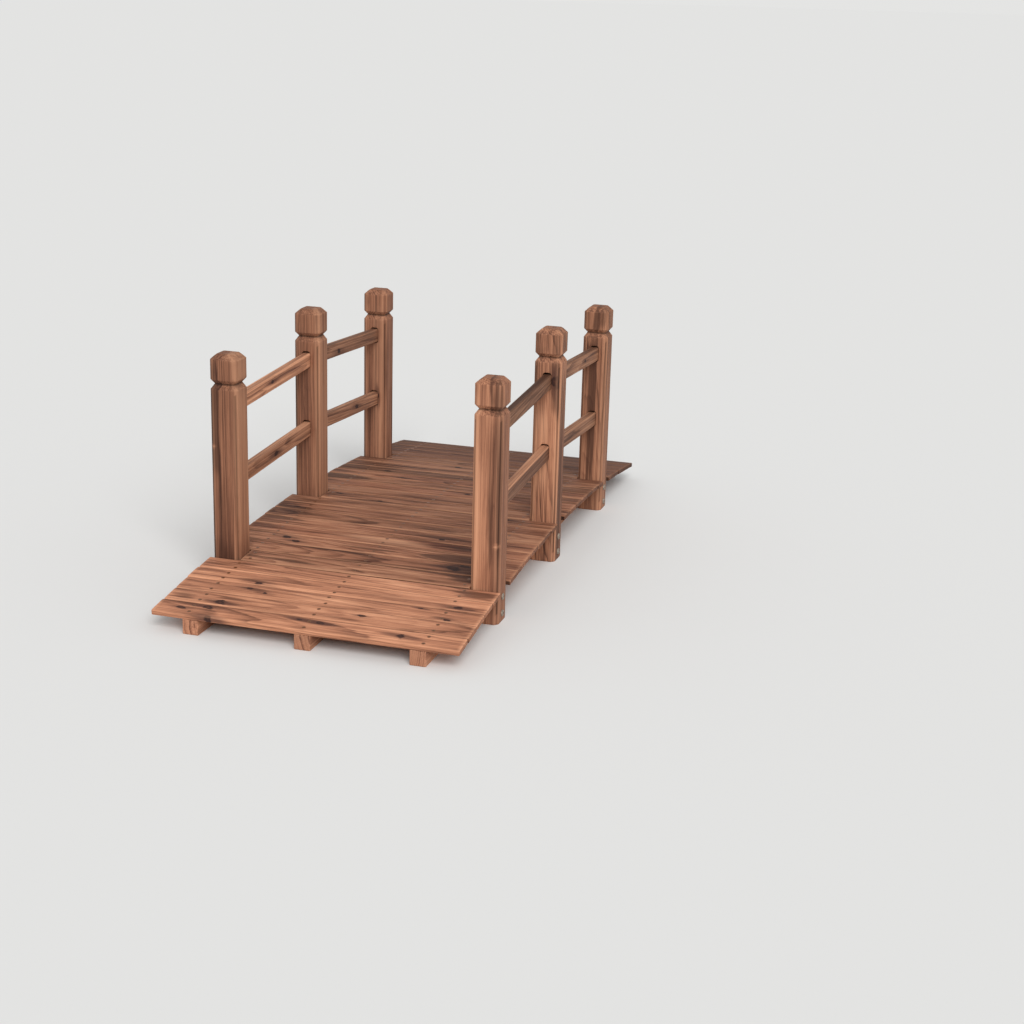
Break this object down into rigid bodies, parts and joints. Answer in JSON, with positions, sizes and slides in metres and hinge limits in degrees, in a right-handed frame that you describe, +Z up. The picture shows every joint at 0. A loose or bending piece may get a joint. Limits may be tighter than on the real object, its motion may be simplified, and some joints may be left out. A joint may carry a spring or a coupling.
{
  "type": "wooden garden footbridge",
  "caption": "Low arched garden footbridge: boards laid across stringers, square posts with grooved caps, sloping upper and lower rails on both sides.",
  "frame": {"origin": "on the ground, under the middle of the bridge", "axes": "+Z up, +Y along the walk from the front ramp to the back ramp, +X to the right of a walker heading +Y"},
  "size_m": [0.673, 1.5236, 0.553],
  "materials": {
    "post_wood": "brown stained softwood, fine vertical grain, dark heart streaks",
    "rail_wood": "brown stained softwood, grain along the rail",
    "deck_wood": "brown stained softwood, knotty, grain across the bridge",
    "stringer_wood": "brown stained softwood, sawn ends",
    "zinc_steel": "dull zinc plating"
  },
  "bodies": {
    "root": {"post_front_left": "post_wood", "post_front_right": "post_wood", "post_mid_left": "post_wood", "post_mid_right": "post_wood", "post_back_left": "post_wood", "post_back_right": "post_wood", "lower_rail_front_left": "rail_wood", "lower_rail_front_right": "rail_wood", "lower_rail_back_left": "rail_wood", "lower_rail_back_right": "rail_wood", "upper_rail_front_left": "rail_wood", "upper_rail_front_right": "rail_wood", "upper_rail_back_left": "rail_wood", "upper_rail_back_right": "rail_wood", "stringer_left": "stringer_wood", "stringer_middle": "stringer_wood", "stringer_right": "stringer_wood", "deck_board_01": "deck_wood", "deck_board_02": "deck_wood", "deck_board_03": "deck_wood", "deck_board_04": "deck_wood", "deck_board_05": "deck_wood", "deck_board_06": "deck_wood", "deck_board_07": "deck_wood", "deck_board_08": "deck_wood", "deck_board_09": "deck_wood", "deck_board_10": "deck_wood", "deck_board_11": "deck_wood", "deck_board_12": "deck_wood", "deck_board_13": "deck_wood", "deck_board_14": "deck_wood", "deck_board_15": "deck_wood", "deck_board_16": "deck_wood", "deck_board_17": "deck_wood", "deck_board_18": "deck_wood", "deck_board_19": "deck_wood", "deck_board_20": "deck_wood", "deck_board_21": "deck_wood", "deck_board_22": "deck_wood", "deck_board_23": "deck_wood", "deck_board_24": "deck_wood", "deck_board_25": "deck_wood", "deck_board_26": "deck_wood", "deck_board_27": "deck_wood"}
  },
  "joints": []
}
